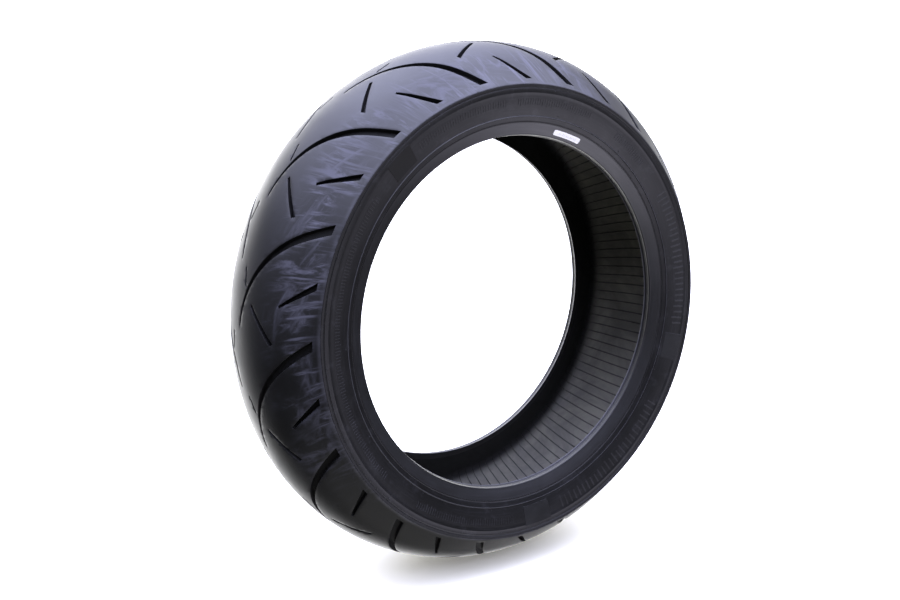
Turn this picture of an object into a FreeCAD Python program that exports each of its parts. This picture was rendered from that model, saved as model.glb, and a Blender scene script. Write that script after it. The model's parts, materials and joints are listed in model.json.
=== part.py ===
import FreeCAD, Part
import os
from collections import namedtuple
from math import atan2, pi

import Sketcher
from FreeCAD import Base

# A radial motorcycle rear tyre, 200/55 R17, off its rim and standing on its tread.
# The wheel's centre is the origin, the axle runs along Y, and +Z is up. Left is +Y, right is -Y.
# Every ring of the tyre is one section turned about Y. A section lies in the YZ plane: y is the
# distance from the middle of the tyre and r the distance from the axle.

SIZES = {
    # outer form
    "bead_seat_radius": 215.9,        # half of the 17 inch rim diameter
    "section_height": 110.0,          # 55 per cent of the 200 mm section width
    "crown_radius": 107.0,            # the tread's arc from shoulder to shoulder
    "crown_angle": 42.0,              # where that arc runs out into the straight shoulder
    "half_tread_width": 98.0,
    "sidewall_radius": 162.0,
    "sidewall_lean": 6.6,             # sidewall's angle to the wheel plane, at the tread's edge
    # thickness of each layer, from the tread inwards
    "groove_depth": 6.0,
    "cap_thickness": 7.5,
    "base_thickness": 1.2,
    "belt_thickness": 1.1,
    "breaker_thickness": 0.9,
    "ply_thickness": 0.7,
    "liner_thickness": 1.0,
    # carcass line: the outer face of the plies
    "bend_radius": 18.0,              # where the carcass turns from the crown into the sidewall
    "shoulder_straight": 26.9,
    "turnup_lean": 15.0,              # the turned-up ply's angle to the wheel plane
    "turnup_top_outer": 236.0,
    "turnup_top_inner": 232.0,
    # shoulder
    "belt_edge_back": 13.0,           # from the tread's edge back to the belt's edge
    "breaker_edge_back": 10.0,
    "cushion_end_angle": 64.0,        # how far round the bend the cushion reaches
    "wing_bottom": 262.0,
    # bead
    "toe_turn": 75.7,                 # y of the innermost wire's centre
    "wire_radius": 0.48,
    "wire_pitch": 1.0,
    "wire_columns": 3.0,
    "wire_rows": 5.0,
    "bundle_play": 0.3,
    "wrap_thickness": 0.3,
    "wrap_height": 4.6,               # top of the wrap above the lowest wires' centres
    "filler_top": 238.0,
    "chafer_thickness": 1.0,
    "chafer_top": 230.0,
    "heel_round": 1.5,
    "land_inner_end": 73.2,           # y where the flat bead seat ends and the toe taper begins
    "toe_radius": 214.6,
    "liner_end": 224.0,
    # tread pattern
    "pitch_count": 14.0,
    "pattern_turn": 0.4,              # from the crown's top to the middle of the first right pitch
    "long_groove_outer_edge": 175.0,  # radii of the long groove's two curved edges
    "long_groove_inner_edge": 168.0,
    # paper label on the right sidewall
    "label_thickness": 0.15,
    "label_bottom": 219.8,
    "label_top": 226.2,
    "label_sweep": 10.6,              # degrees of the ring that it covers
    "label_start": 12.4,              # degrees from the tyre's top to its near end
    # groove cutters, measured along the wheel's radius
    "cutter_reach": 80.0,             # how far a cutter reaches inwards from the crown's top
    "cutter_clearance": 1.0,          # how far it stands out of the tread
}

# Groove outlines of one pitch, as corners in the plane that touches the crown above the pitch's middle:
# x along the tread and y from the tread's centre line towards its edge.
GROOVES = {
    "long_groove": [(68.8, 91.3), (57.6, 91.3), (-60.5, 6.9), (-58.2, 5.2)],
    "shoulder_groove": [(6.0, 91.3), (-2.4, 91.3), (-29.4, 61.5), (-27.0, 60.4)],
    "slant_groove": [(-69.4, 56.1), (-72.0, 52.0), (-35.0, 25.7), (-31.8, 27.4)],
    "short_groove": [(-17.0, 15.6), (-14.6, 12.6), (5.4, 7.9), (6.4, 9.6)],
}
CURVED_EDGES = {"long_groove": {1: "long_groove_inner_edge", 3: "long_groove_outer_edge"}}

LENGTHS = "App::PropertyFloat"
ANGLES = "App::PropertyAngle"

Point = namedtuple("Point", "y r")
Arc = namedtuple("Arc", "centre radius")


# ---- the document and its sizes ----

def make_sheet(doc):
    sheet = doc.addObject("Spreadsheet::Sheet", "Sizes")
    rows = dict(SIZES)
    for groove, corners in GROOVES.items():
        for number, (x, y) in enumerate(corners, start=1):
            rows[f"{groove}_x_{number}"] = x
            rows[f"{groove}_y_{number}"] = y
    for row, (name, value) in enumerate(rows.items(), start=1):
        sheet.set(f"A{row}", name)
        sheet.set(f"B{row}", str(value))
        sheet.setAlias(f"B{row}", name)
    doc.recompute()


def make_section(doc):
    """Places that several sections share, worked out from the sheet."""
    section = doc.addObject("App::VarSet", "Section")
    spread = "(Sizes.crown_radius - carcass_depth - Sizes.bend_radius)"
    reach = "sqrt((toe_turn - bend_y)^2 + (bend_r - turn_r)^2)"
    formulas = [
        ("crown_centre", LENGTHS, "Sizes.bead_seat_radius + Sizes.section_height - Sizes.crown_radius"),
        ("belt_depth", LENGTHS, "Sizes.cap_thickness + Sizes.base_thickness"),
        ("breaker_depth", LENGTHS, "belt_depth + Sizes.belt_thickness"),
        ("carcass_depth", LENGTHS, "breaker_depth + Sizes.breaker_thickness"),
        ("plies", LENGTHS, "2 * Sizes.ply_thickness"),
        ("edge_r", LENGTHS, "crown_centre + Sizes.crown_radius * cos(Sizes.crown_angle)"
                            " - (Sizes.half_tread_width - Sizes.crown_radius * sin(Sizes.crown_angle))"
                            " * tan(Sizes.crown_angle)"),
        ("side_centre_y", LENGTHS, "Sizes.half_tread_width"
                                   " - Sizes.sidewall_radius * cos(Sizes.sidewall_lean)"),
        ("side_centre_r", LENGTHS, "edge_r + Sizes.sidewall_radius * sin(Sizes.sidewall_lean)"),
        ("bend_y", LENGTHS, spread + " * sin(Sizes.crown_angle)"
                            " + Sizes.shoulder_straight * cos(Sizes.crown_angle)"),
        ("bend_r", LENGTHS, "crown_centre + " + spread + " * cos(Sizes.crown_angle)"
                            " - Sizes.shoulder_straight * sin(Sizes.crown_angle)"),
        ("turn_radius", LENGTHS, "Sizes.wire_radius + Sizes.wrap_thickness"),
        ("turn_r", LENGTHS, "Sizes.bead_seat_radius + Sizes.chafer_thickness + plies + turn_radius"),
        ("toe_turn", LENGTHS, "Sizes.toe_turn"),
        ("heel_turn", LENGTHS, "toe_turn + (Sizes.wire_columns - 1) * Sizes.wire_pitch + Sizes.bundle_play"),
        ("wrap_top", LENGTHS, "turn_r + Sizes.wrap_height"),
        # heading of the carcass down the sidewall: 0 points to the left along the axle, 90 at the axle
        ("down", ANGLES, "atan2(bend_r - turn_r; toe_turn - bend_y)"
                         f" + asin((Sizes.bend_radius + turn_radius) / {reach})"),
    ]
    for name, kind, _ in formulas:
        section.addProperty(kind, name)
    for name, _, formula in formulas:
        section.setExpression(name, formula)
    doc.recompute()


def evaluate(formula):
    value = FreeCAD.ActiveDocument.getObject("Section").evalExpression(formula)
    return getattr(value, "Value", value)


# ---- points of the section, as formulas ----

def about(centre, radius, angle):
    """The point of a circle whose tangent there has the heading `angle`, on a path that curves inwards."""
    return Point(f"{centre.y} + ({radius}) * sin({angle})", f"{centre.r} + ({radius}) * cos({angle})")


CROWN = Point("0", "Section.crown_centre")
BEND = Point("Section.bend_y", "Section.bend_r")
TOE = Point("Section.toe_turn", "Section.turn_r")
HEEL = Point("Section.heel_turn", "Section.turn_r")
SIDE = Point("Section.side_centre_y", "Section.side_centre_r")
CROWN_ANGLE = "Sizes.crown_angle"
DOWN = "Section.down"


def tread_edge(depth, back="0"):
    """A point `depth` under the tread and `back` from its edge, measured along the straight shoulder."""
    return Point(f"Sizes.half_tread_width - ({depth}) * sin({CROWN_ANGLE}) - ({back}) * cos({CROWN_ANGLE})",
                 f"Section.edge_r - ({depth}) * cos({CROWN_ANGLE}) + ({back}) * sin({CROWN_ANGLE})")


def on_sidewall_line(offset, radius):
    """A point on the straight part of the carcass, `offset` inside the carcass line."""
    start = about(TOE, f"-(Section.turn_radius + {offset})", DOWN)
    return Point(f"{start.y} - ({radius} - ({start.r})) / tan({DOWN})", radius)


def on_turnup(offset, radius):
    """A point on the turned-up ply, `offset` outside the carcass line."""
    start = turnup_start(offset)
    return Point(f"{start.y} + ({radius} - ({start.r})) * tan(Sizes.turnup_lean)", radius)


def turnup_start(offset):
    size = f"(Section.turn_radius + {offset})"
    return Point(f"{HEEL.y} + {size} * cos(Sizes.turnup_lean)", f"{HEEL.r} - {size} * sin(Sizes.turnup_lean)")


def on_outer_sidewall(radius):
    return Point(f"{SIDE.y} + sqrt(Sizes.sidewall_radius^2 - ({radius} - {SIDE.r})^2)", radius)


# ---- stretches of path: points, with an Arc between two points where the path is round ----

def crown_to_sidewall(offset):
    """The carcass from the middle of the crown, round the bend, to where the sidewall's straight begins."""
    crown = f"Sizes.crown_radius - Section.carcass_depth - ({offset})"
    bend = f"Sizes.bend_radius - ({offset})"
    return [Arc(CROWN, crown), about(CROWN, crown, CROWN_ANGLE), about(BEND, bend, CROWN_ANGLE),
            Arc(BEND, bend), about(BEND, bend, DOWN)]


def round_the_bead(offset):
    """The carcass from the sidewall's straight, under the bead core, to the foot of the turn-up."""
    size = f"Section.turn_radius + {offset}"
    return [about(TOE, f"-({size})", DOWN), Arc(TOE, size), Point(TOE.y, f"{TOE.r} - ({size})"),
            Point(HEEL.y, f"{HEEL.r} - ({size})"), Arc(HEEL, size), turnup_start(offset)]


def crown_strip(depth, back):
    """A line of the crown at one depth, from the middle to its cut end on the shoulder."""
    radius = f"Sizes.crown_radius - ({depth})"
    return [Arc(CROWN, radius), about(CROWN, radius, CROWN_ANGLE), tread_edge(depth, back)]


def mirrored(path):
    flip = []
    for step in reversed(path):
        if isinstance(step, Arc):
            flip.append(Arc(Point(f"-({step.centre.y})", step.centre.r), step.radius))
        else:
            flip.append(Point(f"-({step.y})", step.r))
    return flip


def both_sides(half):
    """A half path that begins with the crown's arc, carried on over the crown to the other side."""
    return mirrored(half[1:]) + half


# ---- sketches ----

def place(point):
    return Base.Vector(evaluate(point.y), evaluate(point.r), 0)


def arc_between(start, end, centre):
    """The short arc from start to end, and whether the sketch holds its ends the other way round."""
    first = atan2(start.y - centre.y, start.x - centre.x)
    last = atan2(end.y - centre.y, end.x - centre.x)
    backwards = (last - first) % (2 * pi) > pi
    if backwards:
        first, last = last, first
    circle = Part.Circle(centre, Base.Vector(0, 0, 1), (start - centre).Length)
    return Part.ArcOfCircle(circle, first, last), backwards


def bind(sketch, constraint, formula):
    index = sketch.addConstraint(constraint)
    sketch.setExpression(f"Constraints[{index}]", formula)


def add_outline(sketch, corners, curves):
    """A closed outline through corners that are pairs of formulas. Where an edge is round, curves maps
    its number to the circle's centre and the formula of its radius."""
    places = [Base.Vector(evaluate(across), evaluate(up), 0) for across, up in corners]
    edges = []
    for index, start in enumerate(places):
        end = places[(index + 1) % len(places)]
        backwards = False
        if index in curves:
            shape, backwards = arc_between(start, end, curves[index][0])
        else:
            shape = Part.LineSegment(start, end)
        edges.append((sketch.addGeometry(shape), 2 if backwards else 1, 1 if backwards else 2))
    for index, (edge, start_end, far_end) in enumerate(edges):
        following, following_start, _ = edges[(index + 1) % len(edges)]
        sketch.addConstraint(Sketcher.Constraint("Coincident", edge, far_end, following, following_start))
        across, up = corners[index]
        bind(sketch, Sketcher.Constraint("DistanceX", -1, 1, edge, start_end, places[index].x), across)
        bind(sketch, Sketcher.Constraint("DistanceY", -1, 1, edge, start_end, places[index].y), up)
    for index, (_, radius) in curves.items():
        bind(sketch, Sketcher.Constraint("Radius", edges[index][0], evaluate(radius)), radius)


def add_section_outline(sketch, path):
    """The outline of a path of points, with an Arc between two points where the path is round."""
    corners = []
    curves = {}
    for step in path:
        if isinstance(step, Arc):
            curves[len(corners) - 1] = (place(step.centre), step.radius)
        else:
            corners.append((step.y, step.r))
    add_outline(sketch, corners, curves)


def origin_plane(body, role):
    return next(feature for feature in body.Origin.OriginFeatures if feature.Role == role)


def new_sketch(body, name, role):
    sketch = body.newObject("Sketcher::SketchObject", name)
    sketch.AttachmentSupport = (origin_plane(body, role), "")
    sketch.MapMode = "FlatFace"
    return sketch


def turned_body(doc, name, *outlines, sweep="360"):
    """A body made by turning its outlines about the axle."""
    body = doc.addObject("PartDesign::Body", name)
    body.Label = name
    sketch = new_sketch(body, name + "_section", "YZ_Plane")
    for outline in outlines:
        add_section_outline(sketch, outline)
    turning = body.newObject("PartDesign::Revolution", name + "_turning")
    turning.Profile = sketch
    turning.ReferenceAxis = (sketch, ["H_Axis"])
    turning.setExpression("Angle", sweep)
    body.Tip = turning
    return body


def mirror_image(doc, source, name):
    mirror = doc.addObject("Part::Mirroring", name)
    mirror.Label = name
    mirror.Source = source
    mirror.Normal = Base.Vector(0, 1, 0)
    return mirror


def left_and_right(doc, name, *outlines):
    left = turned_body(doc, name + "_left", *outlines)
    return [left, mirror_image(doc, left, name + "_right")]


# ---- the rubber, cord and wire rings ----

def crown_ring(doc, name, depth, thickness, back="0"):
    outer = both_sides(crown_strip(depth, back))
    inner = both_sides(crown_strip(f"{depth} + {thickness}", back))
    return turned_body(doc, name, outer + inner[::-1])


def carcass_ply(doc, name, offset, turnup_top):
    """A ply from bead to bead, with both ends turned up outside the bead cores."""
    def face(at):
        return both_sides(crown_to_sidewall(at) + round_the_bead(at) + [on_turnup(at, turnup_top)])
    return turned_body(doc, name, face(offset) + face(f"{offset} + Sizes.ply_thickness")[::-1])


def inner_liner(doc):
    def face(at):
        return both_sides(crown_to_sidewall(at) + [on_sidewall_line(at, "Sizes.liner_end")])
    outer = face("Section.plies")
    inner = face("Section.plies + Sizes.liner_thickness")
    return turned_body(doc, "inner_liner", outer + inner[::-1])


def tread_wing():
    return [tread_edge("0"), tread_edge("Section.belt_depth"), on_outer_sidewall("Sizes.wing_bottom"),
            Arc(SIDE, "Sizes.sidewall_radius")]


def shoulder_cushion():
    bend = "Sizes.bend_radius"
    return [tread_edge("Section.belt_depth", "Sizes.belt_edge_back"), tread_edge("Section.belt_depth"),
            about(BEND, bend, "Sizes.cushion_end_angle"), Arc(BEND, bend), about(BEND, bend, CROWN_ANGLE),
            tread_edge("Section.carcass_depth", "Sizes.breaker_edge_back"),
            tread_edge("Section.breaker_depth", "Sizes.breaker_edge_back"),
            tread_edge("Section.breaker_depth", "Sizes.belt_edge_back")]


def sidewall():
    bend = "Sizes.bend_radius"
    ply = "Sizes.ply_thickness"
    plies = "Section.plies"
    return [on_outer_sidewall("Sizes.wing_bottom"), tread_edge("Section.belt_depth"),
            about(BEND, bend, "Sizes.cushion_end_angle"), Arc(BEND, bend), about(BEND, bend, DOWN),
            on_sidewall_line("0", "Sizes.filler_top"), on_turnup("0", "Sizes.filler_top"),
            on_turnup("0", "Sizes.turnup_top_outer"), on_turnup(ply, "Sizes.turnup_top_outer"),
            on_turnup(ply, "Sizes.turnup_top_inner"), on_turnup(plies, "Sizes.turnup_top_inner"),
            on_turnup(plies, "Sizes.chafer_top"), on_outer_sidewall("Sizes.chafer_top"),
            Arc(SIDE, "Sizes.sidewall_radius")]


def bead_filler():
    return [on_sidewall_line("0", "Section.wrap_top"), on_turnup("0", "Section.wrap_top"),
            on_turnup("0", "Sizes.filler_top"), on_sidewall_line("0", "Sizes.filler_top")]


def bead_wrap():
    def ring(offset, top):
        return [on_sidewall_line(offset, top)] + round_the_bead(offset) + [on_turnup(offset, top)]
    thickness = "Sizes.wrap_thickness"
    return ring("0", "Section.wrap_top"), ring(f"-{thickness}", f"Section.wrap_top - {thickness}")


def chafer():
    """The rim strip: round the heel, along the flat bead seat, out to the toe and up the inside."""
    heel_r = "(Sizes.bead_seat_radius + Sizes.heel_round)"
    heel_side = on_outer_sidewall(heel_r)
    heel_centre = Point(f"{heel_side.y} - Sizes.heel_round", heel_r)
    inside = "Section.plies + Sizes.liner_thickness"
    return [on_outer_sidewall("Sizes.chafer_top"), Arc(SIDE, "Sizes.sidewall_radius"), heel_side,
            Arc(heel_centre, "Sizes.heel_round"), Point(heel_centre.y, "Sizes.bead_seat_radius"),
            Point("Sizes.land_inner_end", "Sizes.bead_seat_radius"),
            on_sidewall_line(inside, "Sizes.toe_radius"), on_sidewall_line(inside, "Sizes.liner_end"),
            on_sidewall_line("Section.plies", "Sizes.liner_end"), *round_the_bead("Section.plies"),
            on_turnup("Section.plies", "Sizes.chafer_top")]


def bead_core_left(doc):
    """Wire rings in rows that lean with the carcass. Above the first two rows there is one wire less."""
    wires = []
    columns = int(evaluate("Sizes.wire_columns"))
    for row in range(int(evaluate("Sizes.wire_rows"))):
        for column in range(columns - (1 if row > 1 else 0)):
            wire = doc.addObject("Part::Torus", f"bead_wire_{row + 1}_{column + 1}")
            wire.setExpression("Radius1", f"Section.turn_r + {row} * Sizes.wire_pitch * sin({DOWN})")
            wire.setExpression("Radius2", "Sizes.wire_radius")
            wire.Placement = FreeCAD.Placement(Base.Vector(), Base.Rotation(Base.Vector(1, 0, 0), 90))
            wire.setExpression("Placement.Base.y", f"Section.toe_turn + {column} * Sizes.wire_pitch"
                                                   f" - {row} * Sizes.wire_pitch * cos({DOWN})")
            wires.append(wire)
    core = doc.addObject("Part::Compound", "bead_core_left")
    core.Label = "bead_core_left"
    core.Links = wires
    return core


# ---- tread grooves ----

def add_groove_outline(sketch, groove):
    """One groove's outline on the plane above the crown, with its long edges curved where they are so."""
    count = len(GROOVES[groove])
    corners = [(f"Sizes.{groove}_x_{number}", f"Sizes.{groove}_y_{number}") for number in range(1, count + 1)]
    curves = {}
    for index, size in CURVED_EDGES.get(groove, {}).items():
        ends = corners[index], corners[(index + 1) % count]
        start, end = [Base.Vector(evaluate(x), evaluate(y), 0) for x, y in ends]
        radius = f"Sizes.{size}"
        curves[index] = (hollow_side_centre(start, end, evaluate(radius)), radius)
    add_outline(sketch, corners, curves)


def hollow_side_centre(start, end, radius):
    """The centre of a curved groove edge: the groove bows towards the tread's centre line."""
    chord = end - start
    sideways = Base.Vector(-chord.y, chord.x, 0).normalize()
    if sideways.y < 0:
        sideways = -sideways
    return (start + end) * 0.5 + sideways * (radius ** 2 - (chord.Length / 2) ** 2) ** 0.5


def groove_cutter(doc, groove):
    body = doc.addObject("PartDesign::Body", groove + "_cutter")
    sketch = new_sketch(body, groove + "_outline", "XY_Plane")
    top = "Sizes.bead_seat_radius + Sizes.section_height + Sizes.cutter_clearance"
    sketch.setExpression("AttachmentOffset.Base.z", top)
    add_groove_outline(sketch, groove)
    pad = body.newObject("PartDesign::Pad", groove + "_pad")
    pad.Profile = sketch
    pad.Reversed = True
    pad.setExpression("Length", "Sizes.cutter_reach")
    body.Tip = pad
    return body


def cap_with_grooves(doc):
    """The cap, less one pitch of grooves carried round the crown, and the same again on the other side."""
    blank = crown_ring(doc, "tread_cap_blank", "0", "Sizes.cap_thickness")
    cut_zone = crown_ring(doc, "groove_zone", "-Sizes.cutter_clearance",
                          "Sizes.groove_depth + Sizes.cutter_clearance")
    cutters = [groove_cutter(doc, groove) for groove in GROOVES]
    pitch = doc.addObject("Part::Compound", "pitch_cutters")
    pitch.Links = cutters
    doc.recompute()
    cut = doc.addObject("Part::Common", "pitch_grooves")
    cut.Base = cut_zone
    cut.Tool = pitch
    doc.recompute()
    pattern = doc.addObject("Part::Feature", "groove_pattern")
    count = int(evaluate("Sizes.pitch_count"))
    pattern.Shape = pattern_round(cut.Shape, count, evaluate("Sizes.pattern_turn"))
    cap = doc.addObject("Part::Cut", "tread_cap")
    cap.Label = "tread_cap"
    cap.Base = blank
    cap.Tool = pattern
    return cap


def pattern_round(pitch, count, first):
    """Right grooves at every pitch, and left grooves half a pitch further on."""
    axle = Base.Vector(0, 1, 0)
    step = 360 / count
    other_side = pitch.mirror(Base.Vector(), axle)
    copies = []
    for index in range(count):
        for shape, turn in ((other_side, first + index * step), (pitch, first + (index + 0.5) * step)):
            copy = shape.copy()
            copy.rotate(Base.Vector(), axle, turn)
            copies.append(copy)
    return Part.makeCompound(copies)


# ---- label ----

def barcode_label(doc):
    """A paper sticker, a short piece of ring lying on the right sidewall."""
    thick = "Sizes.label_thickness"
    lower = on_outer_sidewall("Sizes.label_bottom")
    upper = on_outer_sidewall("Sizes.label_top")
    outline = [lower, Arc(SIDE, "Sizes.sidewall_radius"), upper,
               lifted(upper, thick), Arc(SIDE, f"Sizes.sidewall_radius + {thick}"), lifted(lower, thick)]
    left = turned_body(doc, "label_blank", outline, sweep="Sizes.label_sweep")
    left.Placement = FreeCAD.Placement(Base.Vector(), Base.Rotation(Base.Vector(0, 1, 0), 1))
    left.setExpression("Placement.Rotation.Angle", "Sizes.label_start")
    return mirror_image(doc, left, "barcode_label")


def lifted(point, height):
    """A point of the outer sidewall, raised square to it."""
    scale = f"(1 + {height} / Sizes.sidewall_radius)"
    return Point(f"{SIDE.y} + ({point.y} - ({SIDE.y})) * {scale}",
                 f"{SIDE.r} + ({point.r} - ({SIDE.r})) * {scale}")


def make_nodes(doc):
    core = bead_core_left(doc)
    nodes = [
        cap_with_grooves(doc),
        crown_ring(doc, "tread_base", "Sizes.cap_thickness", "Sizes.base_thickness"),
        crown_ring(doc, "zero_degree_belt", "Section.belt_depth", "Sizes.belt_thickness",
                   "Sizes.belt_edge_back"),
        crown_ring(doc, "breaker_belt", "Section.breaker_depth", "Sizes.breaker_thickness",
                   "Sizes.breaker_edge_back"),
        carcass_ply(doc, "carcass_ply_outer", "0", "Sizes.turnup_top_outer"),
        carcass_ply(doc, "carcass_ply_inner", "Sizes.ply_thickness", "Sizes.turnup_top_inner"),
        inner_liner(doc),
        core,
        mirror_image(doc, core, "bead_core_right"),
        barcode_label(doc),
    ]
    nodes += left_and_right(doc, "tread_wing", tread_wing())
    nodes += left_and_right(doc, "shoulder_cushion", shoulder_cushion())
    nodes += left_and_right(doc, "sidewall", sidewall())
    nodes += left_and_right(doc, "bead_filler", bead_filler())
    nodes += left_and_right(doc, "bead_wrap", *bead_wrap())
    nodes += left_and_right(doc, "chafer", chafer())
    return nodes


def check(doc, nodes):
    for item in doc.Objects:
        if "Invalid" in item.State or "Error" in item.State:
            raise RuntimeError(f"{item.Name} failed: {item.State}")
    for node in nodes:
        if node.Shape.isNull() or not node.Shape.isValid():
            raise RuntimeError(f"{node.Label} has no valid shape")


def main():
    doc = FreeCAD.newDocument("tyre")
    make_sheet(doc)
    make_section(doc)
    nodes = make_nodes(doc)
    doc.recompute()
    check(doc, nodes)
    os.makedirs("parts", exist_ok=True)
    for node in nodes:
        box = node.Shape.optimalBoundingBox(True, False)
        print(f"{node.Label:24} {node.Shape.Volume:12.0f} mm3  {len(node.Shape.Solids)} solids "
              f" x {box.XLength:.1f} y {box.YMin:.1f}..{box.YMax:.1f} z {box.ZMin:.1f}..{box.ZMax:.1f}")
        node.Shape.exportStep(f"parts/{node.Label}.step")


main()
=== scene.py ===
import json
from collections import namedtuple
from math import asin, atan2, copysign, cos, hypot, pi, radians, sin, sqrt, tan

import bmesh
import bpy
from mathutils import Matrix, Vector
from mathutils.geometry import delaunay_2d_cdt


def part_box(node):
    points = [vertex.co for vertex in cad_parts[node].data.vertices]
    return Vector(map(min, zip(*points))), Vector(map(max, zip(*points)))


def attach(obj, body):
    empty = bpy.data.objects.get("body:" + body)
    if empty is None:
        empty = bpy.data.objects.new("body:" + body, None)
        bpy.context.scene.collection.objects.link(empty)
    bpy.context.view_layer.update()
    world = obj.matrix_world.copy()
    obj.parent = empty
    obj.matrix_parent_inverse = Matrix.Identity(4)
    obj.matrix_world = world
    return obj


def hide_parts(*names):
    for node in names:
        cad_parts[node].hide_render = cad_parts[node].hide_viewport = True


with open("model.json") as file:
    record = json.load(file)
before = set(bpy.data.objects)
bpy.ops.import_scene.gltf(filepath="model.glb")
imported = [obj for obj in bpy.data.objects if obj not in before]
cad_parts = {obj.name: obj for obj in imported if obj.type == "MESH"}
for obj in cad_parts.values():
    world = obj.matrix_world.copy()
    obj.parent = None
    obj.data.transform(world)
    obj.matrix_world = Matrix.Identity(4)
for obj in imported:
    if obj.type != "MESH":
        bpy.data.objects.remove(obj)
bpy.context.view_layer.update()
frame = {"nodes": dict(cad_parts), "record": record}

# ---- sizes, in metres, from the frame and the section of the tyre ----

MM = 0.001
OUTER_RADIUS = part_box("tread_cap")[1][2]
HALF_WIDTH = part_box("tread_cap")[1][1]
SEAT_RADIUS = frame["record"]["mounts"][0]["dims"]["r_mm"] * MM
CHAFER_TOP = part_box("chafer_left")[1][2]
WIRE_RADIUS = 0.48 * MM

# the tread's arc, and where it runs out into the straight shoulder
CROWN_RADIUS = 107 * MM
CROWN_ANGLE = radians(42)
CROWN_CENTRE = OUTER_RADIUS - CROWN_RADIUS
# depths under the tread, and the thickness of the layers beside the carcass line
CAP_DEPTH = 7.5 * MM
CARCASS_DEPTH = 10.7 * MM
PLIES = 1.4 * MM
LINER = 1.0 * MM
CHAFER = 1.0 * MM
# the carcass line: its shoulder, its bend into the sidewall and its turn round the bead's wires
BEND_RADIUS = 18 * MM
SHOULDER_STRAIGHT = 26.9 * MM
TURN_RADIUS = 0.78 * MM
TURN_R = SEAT_RADIUS + CHAFER + PLIES + TURN_RADIUS
LINER_END = 224 * MM
# the sidewall's arc
SIDEWALL_RADIUS = 162 * MM
SIDEWALL_LEAN = radians(6.6)

CROWN_ARC = CROWN_RADIUS * CROWN_ANGLE
HALF_ARC = CROWN_ARC + (HALF_WIDTH - CROWN_RADIUS * sin(CROWN_ANGLE)) / cos(CROWN_ANGLE)
EDGE_R = CROWN_CENTRE + CROWN_RADIUS * cos(CROWN_ANGLE) - (HALF_ARC - CROWN_ARC) * sin(CROWN_ANGLE)
SIDE_Y = HALF_WIDTH - SIDEWALL_RADIUS * cos(SIDEWALL_LEAN)
SIDE_R = EDGE_R + SIDEWALL_RADIUS * sin(SIDEWALL_LEAN)

PITCHES = 14
PITCH = 2 * pi / PITCHES
FIRST_PITCH = radians(0.4)
GROOVE_DEPTH = 6 * MM

# Groove outlines in millimetres on the plane that touches the crown above the middle of a pitch: x along the
# tread, y from its centre line. A groove has two long edges, each (start, end, radius of its curve or 0).
GROOVES = {
    "long_groove": (((68.8, 91.3), (-58.2, 5.2), 175), ((57.6, 91.3), (-60.5, 6.9), 168)),
    "shoulder_groove": (((6.0, 91.3), (-27.0, 60.4), 0), ((-2.4, 91.3), (-29.4, 61.5), 0)),
    "slant_groove": (((-69.4, 56.1), (-31.8, 27.4), 0), ((-72.0, 52.0), (-35.0, 25.7), 0)),
    "short_groove": (((-16.2, 14.9), (6.4, 9.6), 0), ((-14.1, 12.2), (5.4, 7.9), 0)),
}


# ---- the tread's surface ----

def tread_point(angle, arc, depth=0.0):
    """A point `depth` under the tread, `angle` round from the top and `arc` across from the middle."""
    size = abs(arc)
    bend = min(size, CROWN_ARC) / CROWN_RADIUS
    straight = max(size - CROWN_ARC, 0.0)
    y = (CROWN_RADIUS - depth) * sin(bend) + straight * cos(CROWN_ANGLE)
    r = CROWN_CENTRE + (CROWN_RADIUS - depth) * cos(bend) - straight * sin(CROWN_ANGLE)
    return Vector((r * sin(angle), copysign(y, arc), r * cos(angle)))


def arc_across(y):
    """Arc length across the tread, from the middle to the place that is y from the wheel plane."""
    if y < CROWN_RADIUS * sin(CROWN_ANGLE):
        return CROWN_RADIUS * asin(y / CROWN_RADIUS)
    return CROWN_ARC + (y - CROWN_RADIUS * sin(CROWN_ANGLE)) / cos(CROWN_ANGLE)


def crown_radius_at(arc):
    """Distance of the tread's face from the axle."""
    return hypot(*tread_point(0.0, arc).xz)


def from_plane(x, y):
    """The tread's angle and arc under a point of the plane above the pitch's middle (millimetres)."""
    arc = arc_across(y * MM)
    return asin(x * MM / crown_radius_at(arc)), arc


def bowed_edge(edge, steps):
    """Points along a groove's edge, which bows towards the tread's centre line."""
    (x0, y0), (x1, y1), radius = edge
    points = []
    half = hypot(x1 - x0, y1 - y0) / 2
    for step in range(steps + 1):
        part = step / steps
        x = x0 + (x1 - x0) * part
        y = y0 + (y1 - y0) * part
        if radius:
            along = (2 * part - 1) * half
            bow = sqrt(radius ** 2 - along ** 2) - sqrt(radius ** 2 - half ** 2)
            x += bow * (y0 - y1) / (2 * half)
            y -= bow * (x0 - x1) / (2 * half)
        points.append(from_plane(x, y))
    return points


# ---- mesh helpers ----

def add_object(name, bm, materials, crease=24):
    """Turns a bmesh into an object that rides on the tyre, smooth up to the crease angle."""
    bmesh.ops.recalc_face_normals(bm, faces=bm.faces)
    mesh = bpy.data.meshes.new(name)
    bm.to_mesh(mesh)
    bm.free()
    mesh.shade_smooth()
    mesh.set_sharp_from_angle(angle=radians(crease))
    for material in materials:
        mesh.materials.append(material)
    piece = bpy.data.objects.new(name, mesh)
    bpy.context.scene.collection.objects.link(piece)
    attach(piece, "root")
    return piece


def add_grid(bm, rows, close_rows=False, close_columns=True):
    """Quads between rows of points that are all of the same length."""
    grid = [[bm.verts.new(point) for point in row] for row in rows]
    row_count = len(grid)
    columns = len(grid[0])
    for row in range(row_count if close_rows else row_count - 1):
        upper = grid[row]
        lower = grid[(row + 1) % row_count]
        for column in range(columns if close_columns else columns - 1):
            after = (column + 1) % columns
            bm.faces.new((upper[column], upper[after], lower[after], lower[column]))
    return grid


def add_strip(bm, rows):
    """A closed strip through rows of points, with a face at each end."""
    grid = add_grid(bm, rows)
    bm.faces.new(grid[0])
    bm.faces.new(grid[-1][::-1])


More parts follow.
